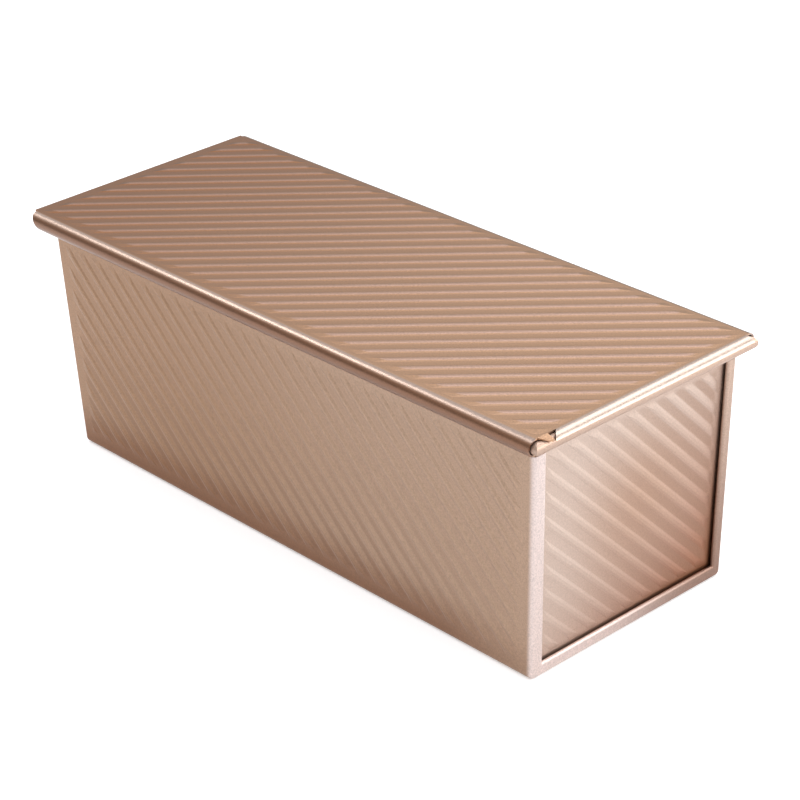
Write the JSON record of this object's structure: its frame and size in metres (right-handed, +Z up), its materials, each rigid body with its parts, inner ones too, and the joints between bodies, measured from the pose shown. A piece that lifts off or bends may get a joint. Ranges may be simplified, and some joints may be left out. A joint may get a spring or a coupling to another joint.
{
  "type": "pullman loaf pan",
  "caption": "Straight-sided loaf tin in coated sheet steel with diagonal ribs, hemmed ends, a wired rolled rim and a lid that slides along the rim.",
  "frame": {"origin": "middle of the assembly's bounding box on the table, at the bottom face", "axes": "+X along the loaf, the way the lid slides off; +Y across the pan; +Z up"},
  "size_m": [0.3368, 0.1356, 0.1204],
  "materials": {
    "body_coating": "satin rose gold non-stick coating",
    "end_coating": "satin rose gold non-stick coating",
    "lid_coating": "satin rose gold non-stick coating",
    "wire_steel": "plain drawn steel wire"
  },
  "bodies": {
    "pan": {"body_sheet": "body_coating", "front_end_panel": "end_coating", "rear_end_panel": "end_coating", "rim_wire": "wire_steel"},
    "lid": {"lid": "lid_coating"}
  },
  "joints": [
    {"name": "lid_slide", "type": "slide", "parent": "pan", "child": "lid", "axis": [1, 0, 0], "range_m": [0, 0.32]}
  ]
}
